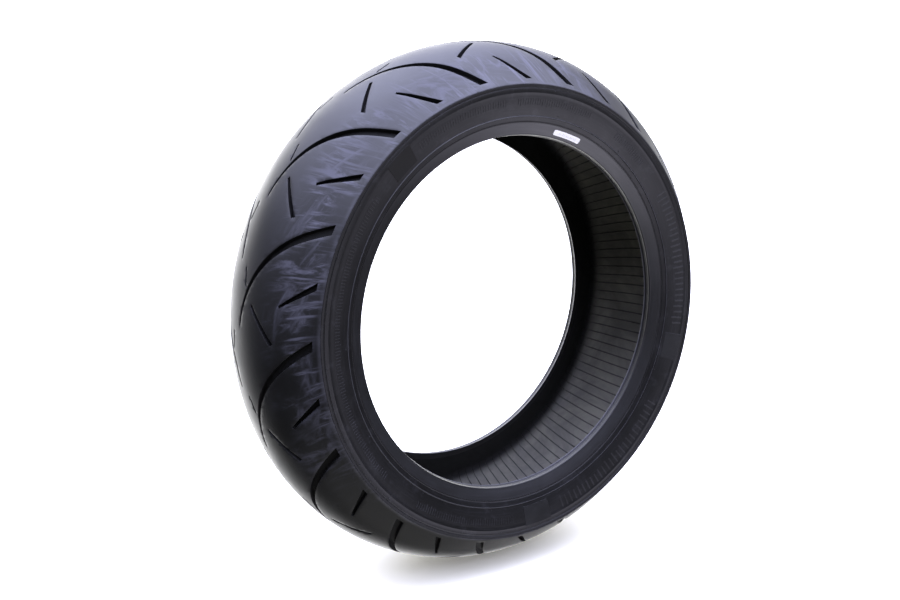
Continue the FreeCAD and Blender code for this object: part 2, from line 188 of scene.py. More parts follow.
def turned(y, r, angle):
    """A place of the section, carried round the axle from the top."""
    return Vector((r * sin(angle), y, r * cos(angle)))


def outward_normals(outline):
    """Normals of a closed outline of (y, r) points, pointing out of it."""
    area = sum(y0 * r1 - y1 * r0 for (y0, r0), (y1, r1) in zip(outline, outline[1:] + outline[:1]))
    way = copysign(1.0, area)
    normals = []
    for index in range(len(outline)):
        y0, r0 = outline[index - 1]
        y1, r1 = outline[(index + 1) % len(outline)]
        size = way * hypot(y1 - y0, r1 - r0)
        normals.append(((r1 - r0) / size, -(y1 - y0) / size))
    return normals


def turn_outline(bm, outline, angles, side=1, lift=None):
    """A closed ring: the outline carried round the axle, raised by lift(angle index, point index)."""
    rows = []
    for index, ((y, r), (ny, nr)) in enumerate(zip(outline, outward_normals(outline))):
        heights = [lift(number, index) if lift else 0.0 for number in range(len(angles))]
        rows.append([turned(side * (y + ny * height), r + nr * height, angle)
                     for height, angle in zip(heights, angles)])
    add_grid(bm, rows, close_rows=True)


def even_angles(count):
    """Angles that are evenly spaced round the axle, from the top."""
    return [2 * pi * number / count for number in range(count)]


# ---- tread ----

EDGE_ROUND = 0.8 * MM
SHEET_HALF = HALF_ARC - EDGE_ROUND
BACK_STEPS = 16
# the mesh of the tread's face: its step, then in steps the distance of its rows and of borders and grooves
GRID = 4.6 * MM
GRID_ROWS = 0.87
BORDER_CLEAR = 0.5
GROOVE_CLEAR = 0.4
# the line between two pitches: its gap to the long groove, where it leaves it, and its place in the middle
LANE_GAP = radians(0.75)
LANE_TURN = 40 * MM
LANE_MIDDLE = 0.55

# How a groove goes down from the opening to the floor: (how far the wall has moved inwards, depth)
WALL_STEPS = [(-0.35 * MM, 0.0), (-0.12 * MM, 0.10 * MM), (0.0, 0.40 * MM), (0.35 * MM, 4.2 * MM),
              (0.75 * MM, 5.5 * MM), (1.3 * MM, GROOVE_DEPTH)]
LIP_ROWS = 3
END_CELLS = 4
GROOVE_STEP = 3.5
# an inset ring keeps within these shares of the groove's length and width
END_LIMIT = 0.2
SIDE_LIMIT = 0.42
# along a groove: where its tip starts and how much it rises, and the same for a long groove's wear bar
TIP_START = 0.88
TIP_RISE = 0.45
BAR_MIDDLE = 0.42
BAR_HALF = 0.02
BAR_SLOPE = 0.012
BAR_RISE = 0.16
LONG = 100 * MM


class Groove:
    """A groove as a patch: `along` runs from its wide end to its tip, `over` from edge to edge."""

    def __init__(self, edges):
        (x0, y0), (x1, y1), _ = edges[0]
        length = hypot(x1 - x0, y1 - y0)
        self.steps = max(6, round(length / GROOVE_STEP))
        self.first = bowed_edge(edges[0], self.steps)
        self.second = bowed_edge(edges[1], self.steps)
        self.length = length * MM

    def place(self, along, over):
        """The angle and arc of a place in the patch. It may lie a little outside."""
        position = min(max(along, 0.0), 1.0) * self.steps
        index = min(int(position), self.steps - 1)
        part = along * self.steps - index
        sides = []
        for edge in (self.first, self.second):
            (a0, s0), (a1, s1) = edge[index], edge[index + 1]
            sides.append((a0 + (a1 - a0) * part, s0 + (s1 - s0) * part))
        (a0, s0), (a1, s1) = sides
        return a0 + (a1 - a0) * over, s0 + (s1 - s0) * over

    def width(self, along):
        """The groove's width, taken square to its run, because the edges slant to each other."""
        a0, s0 = self.place(along, 0.0)
        a1, s1 = self.place(along, 1.0)
        radius = crown_radius_at(s0)
        b0, t0 = self.place(max(along - 0.02, 0.0), 0.5)
        b1, t1 = self.place(min(along + 0.02, 1.0), 0.5)
        run = Vector(((b1 - b0) * radius, t1 - t0)).normalized()
        across = Vector(((a1 - a0) * radius, s1 - s0))
        return max(abs(across.x * run.y - across.y * run.x), 0.8 * MM)

    def ring(self, inset):
        """A loop round the groove, `inset` inside its outline (outside it if negative)."""
        end = min(inset / self.length, END_LIMIT)
        near = []
        for step in range(self.steps + 1):
            along = end + (1 - 2 * end) * step / self.steps
            near.append((along, min(inset / self.width(along), SIDE_LIMIT)))
        far = [(along, 1 - low) for along, low in reversed(near)]

        def across(along, low):
            return [(along, low + (1 - 2 * low) * cell / END_CELLS) for cell in range(1, END_CELLS)]
        return near + across(1 - end, near[-1][1]) + far + across(end, near[0][1])[::-1]

    def depth_scale(self, along):
        """Shallower over the last part of the tip, and over the wear bar of a long groove."""
        tip = 1 - TIP_RISE * max(0.0, (along - TIP_START) / (1 - TIP_START))
        bar = 0.0
        if self.length > LONG:
            bar = BAR_RISE * max(0.0, 1 - max(0.0, abs(along - BAR_MIDDLE) - BAR_HALF) / BAR_SLOPE)
        return tip - bar


def groove_faces(bm, groove, place):
    """Rounded lip, walls and floor of one groove, through place(angle, arc, depth)."""
    rings = []
    for inset, depth in WALL_STEPS:
        row = []
        for along, over in groove.ring(inset):
            angle, arc = groove.place(along, over)
            row.append(place(angle, arc, depth * groove.depth_scale(along)))
        rings.append(row)
    grid = add_grid(bm, rings)
    for lower in grid[LIP_ROWS:]:
        for vert in lower:
            for face in vert.link_faces:
                face.material_index = 1
    floor = grid[-1]
    steps = groove.steps
    far_side = floor[steps + END_CELLS:2 * steps + END_CELLS + 1][::-1]
    near_end = [floor[0]] + floor[:-END_CELLS:-1] + [far_side[0]]
    far_end = floor[steps:steps + END_CELLS + 1]
    columns = [near_end]
    for step in range(1, steps):
        start, end = floor[step].co, far_side[step].co
        inner = [bm.verts.new(start.lerp(end, cell / END_CELLS)) for cell in range(1, END_CELLS)]
        columns.append([floor[step]] + inner + [far_side[step]])
    columns.append(far_end)
    for left, right in zip(columns, columns[1:]):
        for cell in range(END_CELLS):
            face = bm.faces.new((left[cell], left[cell + 1], right[cell + 1], right[cell]))
            face.material_index = 1


def inside(point, loop):
    """Whether a point lies in a closed loop, by counting crossings."""
    x, y = point
    result = False
    for (x0, y0), (x1, y1) in zip(loop, loop[1:] + loop[:1]):
        if (y0 > y) != (y1 > y) and x < x0 + (y - y0) * (x1 - x0) / (y1 - y0):
            result = not result
    return result


def distance_to_loop(point, loop):
    """Distance from a point to the nearest place on a closed loop."""
    best = 1.0
    here = Vector(point)
    for start, end in zip(loop, loop[1:] + loop[:1]):
        start = Vector(start)
        run = Vector(end) - start
        part = max(0.0, min(1.0, (here - start).dot(run) / max(run.length_squared, 1e-12)))
        best = min(best, (here - start - run * part).length)
    return best


def lane(grooves):
    """A line across the tread that crosses no groove. It runs beside the outer part of a long groove on each
    side, and between the short grooves in the middle."""
    edge = [(angle + LANE_GAP, arc) for angle, arc in grooves["long_groove"].first if arc > LANE_TURN]
    (a0, s0), (a1, s1) = edge[0], edge[1]
    start = (a0 + (a0 - a1) / (s0 - s1) * (SHEET_HALF - s0), SHEET_HALF)
    half = [start] + edge
    right = [(angle, -arc) for angle, arc in half]
    left = [(angle + PITCH / 2, arc) for angle, arc in reversed(half)]
    return right + [(LANE_MIDDLE * PITCH, 0.0)] + left


def spread(start, end, step):
    """Points from start to end, about `step` apart, without the last one."""
    count = max(1, round((Vector(end) - Vector(start)).length / step))
    return [tuple(Vector(start).lerp(Vector(end), number / count)) for number in range(count)]


def sheet_border(line, shift):
    """The outline of one pitch: the line on its near side, the same line on its far side, and both edges."""
    near = []
    for start, end in zip(line, line[1:]):
        near += spread(start, end, GRID)
    near.append(line[-1])
    far = [(x + shift, y) for x, y in reversed(near)]
    return near + spread(near[-1], far[0], GRID)[1:] + far + spread(far[-1], near[0], GRID)[1:]


def groove_loops(grooves, border, shift):
    """The openings of all the grooves that lie inside the border."""
    loops = []
    for side, turn in ((-1, 0.0), (1, PITCH / 2)):
        for groove in grooves.values():
            opening = [groove.place(*spot) for spot in groove.ring(WALL_STEPS[0][0])]
            loops.append([((angle + turn) * OUTER_RADIUS, side * arc) for angle, arc in opening])
    for copy in list(loops):
        loops.append([(x + shift, y) for x, y in copy])
        loops.append([(x - shift, y) for x, y in copy])
    return [loop for loop in loops if inside(loop[0], border)]


def inner_points(border, loops):
    """Points of an even triangular grid, clear of the border and of the grooves."""
    low = min(x for x, _ in border)
    high = max(x for x, _ in border)
    row_step = GRID * GRID_ROWS
    points = []
    for row in range(int(2 * SHEET_HALF / row_step) + 1):
        y = -SHEET_HALF + row * row_step
        for column in range(int((high - low) / GRID) + 2):
            point = (low + (column + 0.5 * (row % 2)) * GRID, y)
            if not inside(point, border) or distance_to_loop(point, border) < GRID * BORDER_CLEAR:
                continue
            if not any(inside(point, loop) or distance_to_loop(point, loop) < GRID * GROOVE_CLEAR
                       for loop in loops):
                points.append(point)
    return points


def pitch_sheet(grooves):
    """One pitch of the tread's outer face, as flat points (length round, arc) and triangles."""
    line = [(angle * OUTER_RADIUS, arc) for angle, arc in lane(grooves)]
    shift = PITCH * OUTER_RADIUS
    border = sheet_border(line, shift)
    loops = groove_loops(grooves, border, shift)
    points = []
    edges = []
    for loop in [border] + loops:
        first = len(points)
        points += loop
        edges += [(first + index, first + (index + 1) % len(loop)) for index in range(len(loop))]
    points += inner_points(border, loops)
    result = delaunay_2d_cdt([Vector(point) for point in points], edges, [], 0, 1e-7)
    flat = [tuple(point) for point in result[0]]
    triangles = []
    for triangle in result[2]:
        middle = [sum(flat[index][way] for index in triangle) / 3 for way in (0, 1)]
        if inside(middle, border) and not any(inside(middle, loop) for loop in loops):
            triangles.append(triangle)
    ends = {"right": border[0][0] / OUTER_RADIUS, "left": line[-1][0] / OUTER_RADIUS,
            "cells": round(shift / GRID)}
    return flat, triangles, ends


def make_tread(materials):
    """The grooved cap: the outer face pitch by pitch, rounded edges, and the face that joins the base."""
    grooves = {name: Groove(edges) for name, edges in GROOVES.items()}
    flat, triangles, ends = pitch_sheet(grooves)
    bm = bmesh.new()
    for number in range(PITCHES):
        turn = FIRST_PITCH + number * PITCH
        verts = [bm.verts.new(tread_point(x / OUTER_RADIUS + turn, y)) for x, y in flat]
        for triangle in triangles:
            bm.faces.new([verts[index] for index in triangle])
        for side, extra in ((-1, 0.0), (1, PITCH / 2)):
            for groove in grooves.values():
                groove_faces(bm, groove, lambda angle, arc, depth, side=side, around=turn + extra:
                             tread_point(angle + around, side * arc, depth))
    add_tread_back(bm, ends)
    bmesh.ops.remove_doubles(bm, verts=bm.verts, dist=0.01 * MM)
    loose = [vert for vert in bm.verts if not vert.link_faces]
    bmesh.ops.delete(bm, geom=loose, context="VERTS")
    piece = add_object("tread_skin", bm, materials)
    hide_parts("tread_cap")


def add_tread_back(bm, ends):
    """Rows from one edge of the outer face, over the rounded edge and under the cap, to the other edge."""
    columns = ends["cells"] * PITCHES
    path = [(SHEET_HALF, 0.0), (HALF_ARC - 0.22 * EDGE_ROUND, 0.25 * EDGE_ROUND), (HALF_ARC, EDGE_ROUND),
            (HALF_ARC, CAP_DEPTH * 0.5), (HALF_ARC, CAP_DEPTH)]
    rows = [(-arc, depth) for arc, depth in path]
    for step in range(1, BACK_STEPS):
        rows.append((-HALF_ARC + 2 * HALF_ARC * step / BACK_STEPS, CAP_DEPTH))
    rows += [(arc, depth) for arc, depth in reversed(path)]
    points = []
    for arc, depth in rows:
        share = (arc + HALF_ARC) / (2 * HALF_ARC)
        share = 0.0 if arc <= -SHEET_HALF else 1.0 if arc >= SHEET_HALF else share
        start = ends["right"] + (ends["left"] - ends["right"]) * share + FIRST_PITCH
        points.append([tread_point(start + angle, arc, depth) for angle in even_angles(columns)])
    add_grid(bm, points)


# ---- the tyre's section below the tread, as places (y, r) on its left side ----

TOE_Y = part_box("bead_core_left")[0][1] + WIRE_RADIUS
HALF_TURN = CROWN_RADIUS - CARCASS_DEPTH - BEND_RADIUS
BEND = (HALF_TURN * sin(CROWN_ANGLE) + SHOULDER_STRAIGHT * cos(CROWN_ANGLE),
        CROWN_CENTRE + HALF_TURN * cos(CROWN_ANGLE) - SHOULDER_STRAIGHT * sin(CROWN_ANGLE))
REACH = hypot(TOE_Y - BEND[0], BEND[1] - TURN_R)
DOWN = atan2(BEND[1] - TURN_R, TOE_Y - BEND[0]) + asin((BEND_RADIUS + TURN_RADIUS) / REACH)
INSIDE = PLIES + LINER


def round_path(centre, radius, start, end, steps):
    """Points on a circle between two headings: 0 is its top and 90 degrees its outer side."""
    headings = [start + (end - start) * step / steps for step in range(steps + 1)]
    return [(centre[0] + radius * sin(heading), centre[1] + radius * cos(heading)) for heading in headings]


def on_carcass(offset, r):
    """The straight inner line of the sidewall, `offset` inside the plies' outer face."""
    size = TURN_RADIUS + offset
    return TOE_Y - size * sin(DOWN) - (r - TURN_R + size * cos(DOWN)) / tan(DOWN), r


def on_side(r, height=0.0):
    """The outer sidewall where it has the radius r, raised square to its face."""
    heading = asin((SIDE_R - r) / SIDEWALL_RADIUS)
    size = SIDEWALL_RADIUS + height
    return SIDE_Y + size * cos(heading), SIDE_R - size * sin(heading)


def side_place(side, angle, r, height=0.0):
    """A place on the outer sidewall; side is 1 for the left one and -1 for the right one."""
    y, radius = on_side(r, height)
    return turned(side * y, radius, angle)


def side_path(top, bottom, rings=(), spacing=3.5 * MM, height=0.0):
    """The outer sidewall from one radius down to another, with raised or sunk rings in it."""
    stops = [(top, height), (bottom, height)]
    for radius, rise, foot, flat in rings:
        stops += [(radius + foot, 0.0), (radius + flat, rise), (radius - flat, rise), (radius - foot, 0.0)]
    stops.sort(reverse=True)
    path = []
    for (r0, h0), (r1, h1) in zip(stops, stops[1:]):
        count = max(1, round((r0 - r1) / spacing))
        for number in range(count):
            path.append(on_side(r0 + (r1 - r0) * number / count, h0 + (h1 - h0) * number / count))
    path.append(on_side(*stops[-1]))
    return path


# ---- sidewalls ----

SIDEWALL_TOP = EDGE_R - 0.5 * MM
SKIN = 2.2 * MM
SIDEWALL_COLUMNS = 24 * PITCHES
RIM_LINE = 237.7 * MM
# rings of the sidewall: radius, rise, half width at the foot and half width of the flat
SIDE_RINGS = [(270.4 * MM, -0.5 * MM, 1.0 * MM, 0.25 * MM), (264.6 * MM, 0.2 * MM, 0.8 * MM, 0.25 * MM),
              (RIM_LINE, 0.8 * MM, 0.75 * MM, 0.2 * MM), (231.6 * MM, -0.25 * MM, 0.6 * MM, 0.15 * MM)]


def make_sidewall(side, name, material):
    """The outer face of the sidewall with its rings, on a thin skin."""
    outline = [on_side(EDGE_R - 1.2 * MM, -SKIN), on_side(SIDEWALL_TOP, -0.4 * MM)]
    outline += side_path(SIDEWALL_TOP - 0.3 * MM, CHAFER_TOP + 0.1 * MM, SIDE_RINGS)
    outline += side_path(EDGE_R - 5 * MM, CHAFER_TOP + 0.1 * MM, spacing=9 * MM, height=-SKIN)[::-1]
    bm = bmesh.new()
    turn_outline(bm, outline, even_angles(SIDEWALL_COLUMNS), side)
    piece = add_object(f"sidewall_skin_{name}", bm, [material])
    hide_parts(f"sidewall_{name}", f"tread_wing_{name}")


# how deep the feet of ribs and panels are sunk in the rubber
FOOT = -0.2 * MM


def add_bar(bm, side, angle, radii, width, section):
    """A bar across the sidewall at these radii. Its section is (share of the width, height) pairs."""
    add_strip(bm, [[side_place(side, angle + across * width / r, r, height) for across, height in section]
                   for r in radii])


# Fields of ribs on each sidewall: start, end (degrees round from the top), bottom, top (millimetres from the
# axle), step (degrees) and the ribs' width (millimetres)
RIB_FIELDS = [(-35, -7, 249, 258, 0.8, 1.1), (-3, 22, 249, 258, 0.8, 1.1), (33, 46, 247, 257, 0.8, 1.1),
              (-129, -52, 248, 256, 0.8, 1.1), (58, 99, 247, 262, 1.7, 2.6), (124, 168, 247, 262, 1.7, 2.6),
              (184, 218, 249, 258, 0.8, 1.1)]
RIB_PARTS = 3
RIB_RISE = 0.4 * MM
# Smooth panels between the fields: start, end (degrees), and whether the panel is the paler kind
PANELS = [(-45.5, -37.5, False), (102, 110, True), (171, 180, True)]
PANEL_BOTTOM = 242 * MM
PANEL_TOP = 266.5 * MM
PANEL_RISE = 0.4 * MM
PANEL_CHAMFER = 0.5 * MM
PANEL_STEPS = [0.0, 0.015, 0.2, 0.4, 0.6, 0.8, 0.985, 1.0]
PANEL_PARTS = 4
# Rings of vent nubs: radius, how many, first angle, size and how deep their centres lie in the rubber
VENTS = {
    "outer": (272.3 * MM, 2 * PITCHES, 0.03, 0.9 * MM, 0.65 * MM),
    "middle": (268.0 * MM, 2 * PITCHES, 0.14, 0.7 * MM, 0.0),
    "inner": (240.6 * MM, PITCHES, 0.2, 0.7 * MM, 0.0),
}


def make_ribs(side, name, material):
    """Fields of ribs that stand in for lettering. Their lengths vary in a fixed rhythm."""
    bm = bmesh.new()
    for start, end, bottom, top, step, width in RIB_FIELDS:
        count = int((end - start) / step)
        for number in range(count + 1):
            short = 0.3 * (top - bottom) * (0.5 + 0.5 * sin(5.1 * number) * sin(1.7 * number))
            low = (bottom + short) * MM
            radii = [low + (top * MM - low) * part / RIB_PARTS for part in range(RIB_PARTS + 1)]
            rise = RIB_RISE / width
            section = ((-0.5, FOOT), (-0.3, rise), (0.3, rise), (0.5, FOOT))
            add_bar(bm, side, radians(start + step * number), radii, width * MM, section)
    piece = add_object(f"sidewall_ribs_{name}", bm, [material])


def make_panels(side, name, materials):
    """Low plates with chamfered edges, moulded on between the fields of ribs."""
    flat = PANEL_TOP - PANEL_BOTTOM - 2 * PANEL_CHAMFER
    bm = bmesh.new()
    for start, end, pale in PANELS:
        rows = []
        for share in PANEL_STEPS:
            angle = radians(start + (end - start) * share)
            height = FOOT if share in (0.0, 1.0) else PANEL_RISE
            row = [side_place(side, angle, PANEL_BOTTOM, FOOT)]
            for part in range(PANEL_PARTS + 1):
                r = PANEL_BOTTOM + PANEL_CHAMFER + flat * part / PANEL_PARTS
                row.append(side_place(side, angle, r, height))
            row.append(side_place(side, angle, PANEL_TOP, FOOT))
            rows.append(row)
        first = len(bm.faces)
        add_strip(bm, rows)
        for face in list(bm.faces)[first:]:
            face.material_index = int(pale)
    piece = add_object(f"sidewall_panels_{name}", bm, materials)


def make_vents(side, name, materials):
    """Small nubs left by the vents of the mould, in rings. materials has one for each ring."""
    for ring, (radius, count, start, size, sunk) in VENTS.items():
        bm = bmesh.new()
        for number in range(count):
            angle = start + 2 * pi * number / count
            made = bmesh.ops.create_uvsphere(bm, u_segments=8, v_segments=6, radius=size)
            place = side_place(side, angle, radius, -sunk)
            for vert in made["verts"]:
                vert.co += place
        piece = add_object(f"vent_nubs_{ring}_{name}", bm, [materials[ring]], crease=80)


# ---- beads ----

HEEL_ROUND = 1.5 * MM
LAND_END = 73.2 * MM
TOE_R = 214.6 * MM
BEAD_SKIN = 0.9 * MM
BEAD_COLUMNS = 32 * PITCHES
# rings under the seat: where they lie between heel and land, their half width and their depth
SEAT_RINGS = (0.30, 0.55, 0.80)
RING_HALF = 0.35 * MM
RING_DEPTH = 0.18 * MM


def bead_path():
    """The bead's face from the sidewall, round the heel, under the seat and the toe, and up the inside."""
    heel_y, heel_r = on_side(SEAT_RADIUS + HEEL_ROUND)
    centre = (heel_y - HEEL_ROUND, heel_r)
    path = side_path(CHAFER_TOP, heel_r + 0.6 * MM, spacing=2.4 * MM)
    path += round_path(centre, HEEL_ROUND, radians(90), radians(180), 6)
    seat_y = centre[0]
    toe_y = on_carcass(INSIDE, TOE_R)[0]
    for share in SEAT_RINGS:
        y = seat_y + (LAND_END - seat_y) * share
        path += [(y + RING_HALF, SEAT_RADIUS), (y, SEAT_RADIUS + RING_DEPTH), (y - RING_HALF, SEAT_RADIUS)]
    path += [(LAND_END, SEAT_RADIUS), (toe_y + 1.4 * MM, TOE_R + 0.45 * MM)]
    path += [(toe_y + 0.5 * MM, TOE_R + 0.1 * MM), (toe_y + 0.05 * MM, TOE_R + 0.35 * MM)]
    path += [on_carcass(INSIDE, r) for r in (216 * MM, 218 * MM, 221 * MM, LINER_END)]
    return path


def make_bead(side, name, material):
    """The chafer round the bead, from the sidewall to the end of the liner."""
    path = bead_path()
    back = [on_side(CHAFER_TOP, -BEAD_SKIN), on_side(SEAT_RADIUS + 3 * MM, -BEAD_SKIN)]
    back += [(back[-1][0] - 1.5 * MM, SEAT_RADIUS + 1.2 * MM), (LAND_END + 0.3 * MM, SEAT_RADIUS + 1.2 * MM)]
    back += [on_carcass(PLIES, 217 * MM), on_carcass(PLIES, LINER_END)]
    bm = bmesh.new()
    turn_outline(bm, path + back[::-1], even_angles(BEAD_COLUMNS), side)
    piece = add_object(f"bead_skin_{name}", bm, [material], crease=32)
    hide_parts(f"chafer_{name}")


# ---- inner liner ----

RIDGES = 10 * PITCHES
RIDGE_STEP = 2 * pi / RIDGES
LINE_HALF = 0.9 * MM
LINE_DEPTH = 0.6 * MM
# the lines get their full depth between these radii
LINES_FROM = 256 * MM
LINES_FULL = 262 * MM


def liner_face(offset, radii, bend_steps, crown_steps):
    """The liner's face, from the end of the left bead over the crown to the end of the right one."""
    path = [on_carcass(offset, r) for r in radii]
    path += round_path(BEND, BEND_RADIUS - offset, DOWN, CROWN_ANGLE, bend_steps)
    crown = CROWN_RADIUS - CARCASS_DEPTH - offset
    over = round_path((0.0, CROWN_CENTRE), crown, CROWN_ANGLE, 0.0, crown_steps)
    (y0, r0), (y1, r1) = path[-1], over[0]
    path += [(y0 + (y1 - y0) * part, r0 + (r1 - r0) * part) for part in (0.33, 0.67)]
    path += over
    return path[:-1] + [(-y, r) for y, r in reversed(path)]


def make_liner(material):
    """The airtight liner. The curing bladder's vent lines cross its crown as fine sunk lines."""
    inner = liner_face(INSIDE, (LINER_END, 230 * MM, 236 * MM, 243 * MM), 9, 12)
    outer = liner_face(PLIES, (LINER_END, 243 * MM), 5, 7)
    half = LINE_HALF / (OUTER_RADIUS - CARCASS_DEPTH)
    angles = []
    for number in range(RIDGES):
        middle = number * RIDGE_STEP
        angles += [middle - half, middle - half * 0.35, middle + half * 0.35, middle + half,
                   middle + RIDGE_STEP / 2]

    def lift(number, index):
        """Sinks the two middle angles of each line, on the inner face only."""
        if index >= len(inner) or number % 5 not in (1, 2):
            return 0.0
        r = inner[index][1]
        return -LINE_DEPTH * min(max((r - LINES_FROM) / (LINES_FULL - LINES_FROM), 0.0), 1.0)
    bm = bmesh.new()
    turn_outline(bm, inner + outer[::-1], angles, lift=lift)
    piece = add_object("liner_skin", bm, [material])
    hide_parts("inner_liner")


# ---- label ----

LABEL_START = radians(12.4)
LABEL_SWEEP = radians(10.6)
LABEL_BOTTOM = 219.8 * MM
LABEL_TOP = 226.2 * MM
LABEL_THICK = 0.15 * MM
LABEL_ROUND = 1.8 * MM
LABEL_ROWS = 12
LABEL_COLUMNS = 28
BARS = 15
BAR_BOTTOM = LABEL_BOTTOM + 1.7 * MM
BAR_TOP = LABEL_BOTTOM + 4.0 * MM
BAR_SECTION = ((-0.5, 0.1 * MM), (-0.5, 0.19 * MM), (0.5, 0.19 * MM), (0.5, 0.1 * MM))


def label_corner_cut(distance):
    """How far the label's end is pulled in, at a distance from its long edge."""
    inward = LABEL_ROUND - min(distance, LABEL_ROUND)
    return LABEL_ROUND - sqrt(LABEL_ROUND ** 2 - inward ** 2)


def make_label(material):
    """The sticker: a top and a bottom face with rounded ends, and a rim between them."""
    middle_r = (LABEL_TOP + LABEL_BOTTOM) / 2
    width = LABEL_TOP - LABEL_BOTTOM
    bm = bmesh.new()
    faces = []
    for height in (LABEL_THICK, 0.0):
        rows = []
        for row in range(LABEL_ROWS + 1):
            across = width * row / LABEL_ROWS
            cut = label_corner_cut(min(across, width - across)) / middle_r
            line = []
            for column in range(LABEL_COLUMNS + 1):
                angle = LABEL_START + cut + (LABEL_SWEEP - 2 * cut) * column / LABEL_COLUMNS
                line.append(side_place(-1, angle, LABEL_BOTTOM + across, height))
            rows.append(line)
        faces.append(add_grid(bm, rows, close_columns=False))
    loops = []
    for grid in faces:
        last = [row[-1] for row in grid]
        first = [row[0] for row in grid]
        loops.append(first[:-1] + grid[-1][:-1] + last[:0:-1] + grid[0][:0:-1])
    top, bottom = loops
    for index in range(len(top)):
        after = (index + 1) % len(top)
        bm.faces.new((top[index], top[after], bottom[after], bottom[index]))
    piece = add_object("label_sticker", bm, [material])
    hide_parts("barcode_label")


def make_label_print(material):
    """Plain bars on the sticker."""
    bm = bmesh.new()
    for number in range(BARS):
        angle = LABEL_START + LABEL_SWEEP * (0.16 + 0.68 * number / (BARS - 1))
        width = (0.35 + 0.3 * (number * 5 % 3)) * MM
        add_bar(bm, -1, angle, (BAR_BOTTOM, BAR_TOP), width, BAR_SECTION)
    piece = add_object("label_print", bm, [material])


# ---- materials ----

Wheel = namedtuple("Wheel", "angle y radius x z")


class Look:
    """A material under construction, with short calls for the nodes that all of them use."""

    def __init__(self, name):
        self.material = bpy.data.materials.new(name)
        self.material.use_nodes = True
        self.tree = self.material.node_tree
        self.shader = self.tree.nodes["Principled BSDF"]
        self.object_place = self.node("ShaderNodeTexCoord").outputs["Object"]
        self.bumps = None

    def node(self, kind, **settings):
        node = self.tree.nodes.new(kind)
        for name, value in settings.items():
            setattr(node, name, value)
        return node

    def fill(self, socket, value):
        if isinstance(value, bpy.types.NodeSocket):
            self.tree.links.new(value, socket)
        else:
            socket.default_value = value

    def math(self, operation, first, second=0.0, third=0.0):
        node = self.node("ShaderNodeMath", operation=operation)
        for socket, value in zip(node.inputs, (first, second, third)):
            self.fill(socket, value)
        return node.outputs[0]

    def wheel(self):
        """A place's angle round the axle in radians, its distances along and from it, and its x and z."""
        parts = self.node("ShaderNodeSeparateXYZ")
        self.fill(parts.inputs[0], self.object_place)
        x, y, z = parts.outputs
        angle = self.math("ARCTAN2", x, z)
        squares = self.math("MULTIPLY_ADD", x, x, self.math("MULTIPLY", z, z))
        return Wheel(angle, y, self.math("SQRT", squares), x, z)

    def stretched(self, round_scale, axle_scale, radius_scale):
        """Coordinates for marks that run round the tyre: they join up without a seam."""
        wheel = self.wheel()
        place = self.node("ShaderNodeCombineXYZ")
        for socket, part in zip(place.inputs, (wheel.x, wheel.z)):
            self.fill(socket, self.math("MULTIPLY", self.math("DIVIDE", part, wheel.radius), round_scale))
        along = self.math("MULTIPLY", wheel.y, axle_scale)
        self.fill(place.inputs[2], self.math("MULTIPLY_ADD", wheel.radius, radius_scale, along))
        return place.outputs[0]

    def strokes(self, lean, along_scale, across_scale):
        """Noise drawn out into strokes on the tread, which lean from the way round to the tyre's edge."""
        wheel = self.wheel()
        run = self.math("MULTIPLY", wheel.angle, OUTER_RADIUS)
        size_y = self.math("ABSOLUTE", wheel.y)
        along = self.math("MULTIPLY_ADD", size_y, sin(lean), self.math("MULTIPLY", run, cos(lean)))
        across = self.math("MULTIPLY_ADD", size_y, cos(lean), self.math("MULTIPLY", run, -sin(lean)))
        place = self.node("ShaderNodeCombineXYZ")
        self.fill(place.inputs[0], self.math("MULTIPLY", along, along_scale))
        self.fill(place.inputs[1], self.math("MULTIPLY", across, across_scale))
        self.fill(place.inputs[2], self.math("SIGN", wheel.y))
        return self.noise(1.0, 6, 0.62, 1.5, place.outputs[0])

    def noise(self, scale, detail=4.0, roughness=0.55, distortion=0.0, place=None):
        node = self.node("ShaderNodeTexNoise")
        values = {"Vector": place or self.object_place, "Scale": scale, "Detail": detail,
                  "Roughness": roughness, "Distortion": distortion}
        for name, value in values.items():
            self.fill(node.inputs[name], value)
        return node.outputs["Fac"]

    def ramp(self, value, low, high, start=0.0, end=1.0):
        """Carries value from the range low..high to start..end, smoothly and without overshoot."""
        node = self.node("ShaderNodeMapRange", interpolation_type="SMOOTHSTEP")
        for socket, number in zip(node.inputs, (value, low, high, start, end)):
            self.fill(socket, number)
        return node.outputs[0]

    def vary(self, noise, start=0.0, end=1.0):
        """Carries the usual range of a noise to start..end."""
        return self.ramp(noise, 0.3, 0.7, start, end)

    def mix(self, factor, first, second):
        node = self.node("ShaderNodeMix", data_type="RGBA")
        self.fill(node.inputs["Factor"], factor)
        self.fill(node.inputs[6], first)
        self.fill(node.inputs[7], second)
        return node.outputs[2]

    def bump(self, height, strength, distance):
        node = self.node("ShaderNodeBump")
        node.inputs["Strength"].default_value = strength
        node.inputs["Distance"].default_value = distance
        self.fill(node.inputs["Height"], height)
        if self.bumps:
            self.fill(node.inputs["Normal"], self.bumps)
        self.bumps = node.outputs["Normal"]

    def finish(self, colour, roughness, specular=0.3, metallic=0.0):
        self.fill(self.shader.inputs["Base Color"], colour)
        self.fill(self.shader.inputs["Roughness"], roughness)
        self.shader.inputs["Specular IOR Level"].default_value = specular
        self.shader.inputs["Metallic"].default_value = metallic
        if self.bumps:
            self.fill(self.shader.inputs["Normal"], self.bumps)
        return self.material


def grey(level, blue=0.0):
    """An opaque grey, or a bluish one."""
    return (level, level, level * (1 + blue), 1.0)


